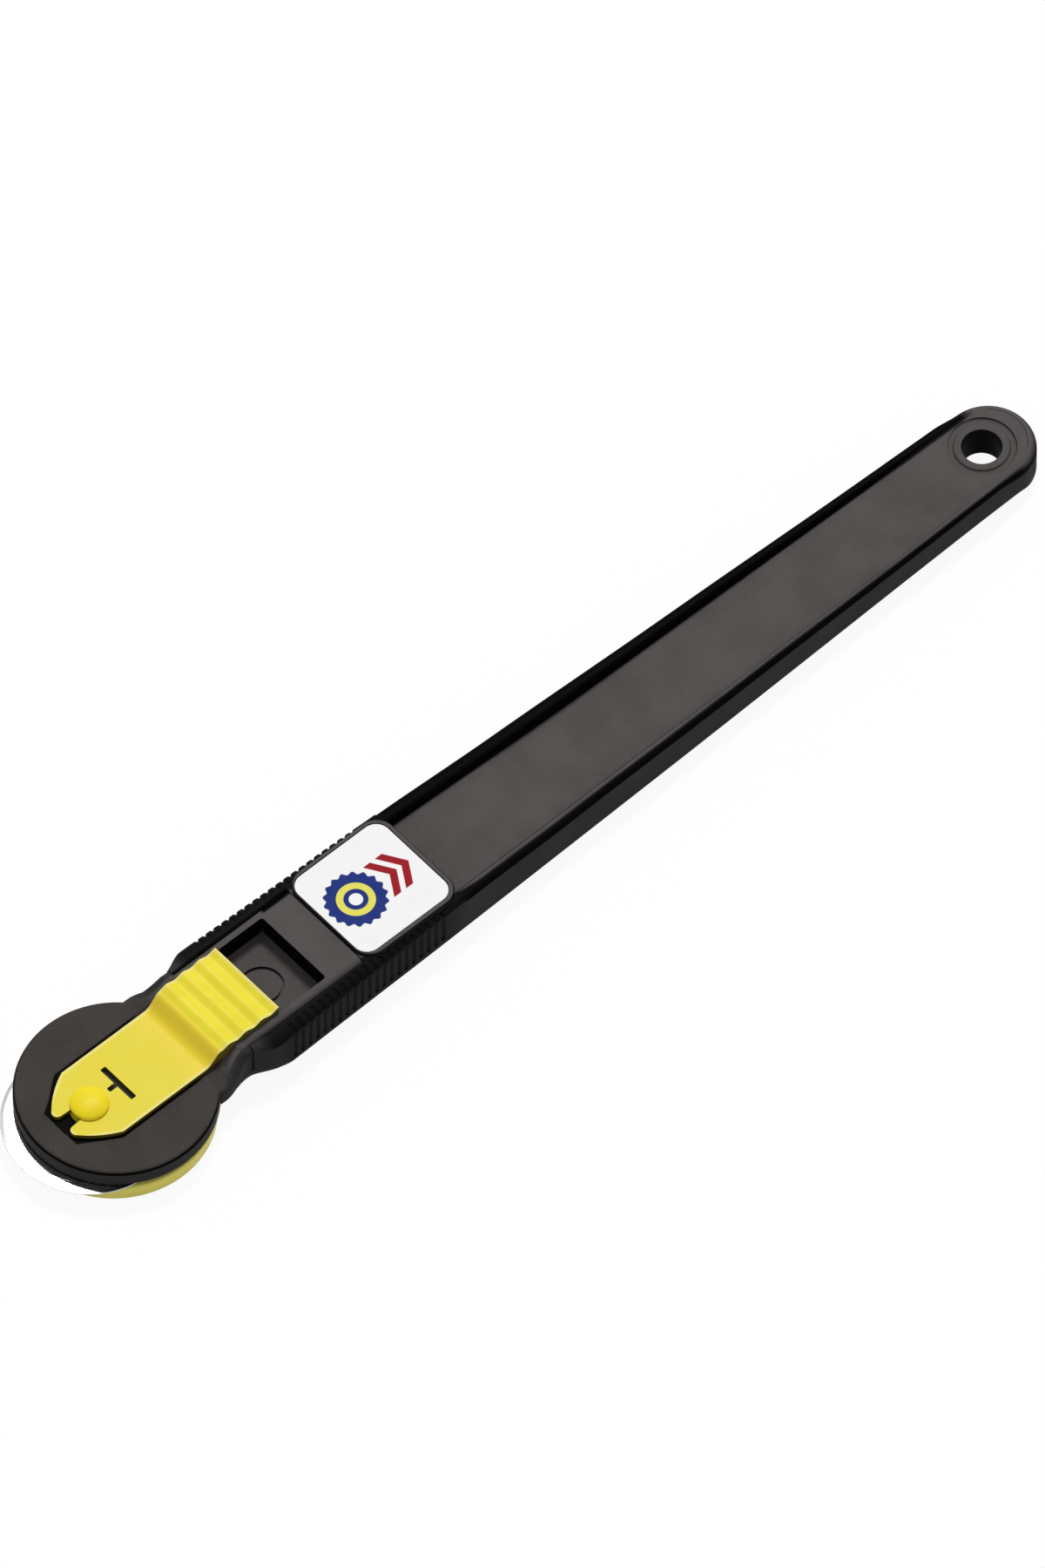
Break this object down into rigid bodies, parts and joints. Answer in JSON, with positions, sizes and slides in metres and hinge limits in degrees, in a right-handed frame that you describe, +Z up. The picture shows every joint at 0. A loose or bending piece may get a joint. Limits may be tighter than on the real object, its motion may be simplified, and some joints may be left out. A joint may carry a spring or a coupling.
{
  "type": "rotary cutter",
  "caption": "Slim rotary cutter: plain round blade on a hex hub between a head and a disc guard, forked sliding release lever, ribbed grip, long trough handle with a hang hole.",
  "frame": {"origin": "centre of the bounding box on the surface that the cutter lies on", "axes": "+X from the blade to the tail, +Y across to the left as seen from above with the tail ahead, +Z up through the head"},
  "size_m": [0.1358, 0.0208, 0.0068],
  "materials": {
    "black_plastic": "satin moulded plastic with a fine grain",
    "yellow_plastic": "smooth satin moulded plastic",
    "blade_steel": "finely ground blade steel",
    "washer_steel": "bright rolled sheet",
    "screw_steel": "zinc plated",
    "white_label": null
  },
  "bodies": {
    "handle": {"handle_body": "black_plastic", "head_frame": "black_plastic", "blade_guard": "yellow_plastic", "label_sticker": "white_label", "frame_screw_front": "screw_steel", "frame_screw_rear": "screw_steel", "thrust_washer": "washer_steel", "spring_washer": "washer_steel"},
    "rotor": {"axle_hub": "yellow_plastic", "cutting_blade": "blade_steel"},
    "lever": {"release_lever": "yellow_plastic"}
  },
  "joints": [
    {"name": "blade_spin", "type": "hinge", "parent": "handle", "child": "rotor", "pos_m": [-0.05885, 0, 0.0022], "axis": [0, 0, 1], "continuous": true},
    {"name": "lever_slide", "type": "slide", "parent": "handle", "child": "lever", "axis": [1, 0, 0], "range_m": [0, 0.0061]}
  ]
}
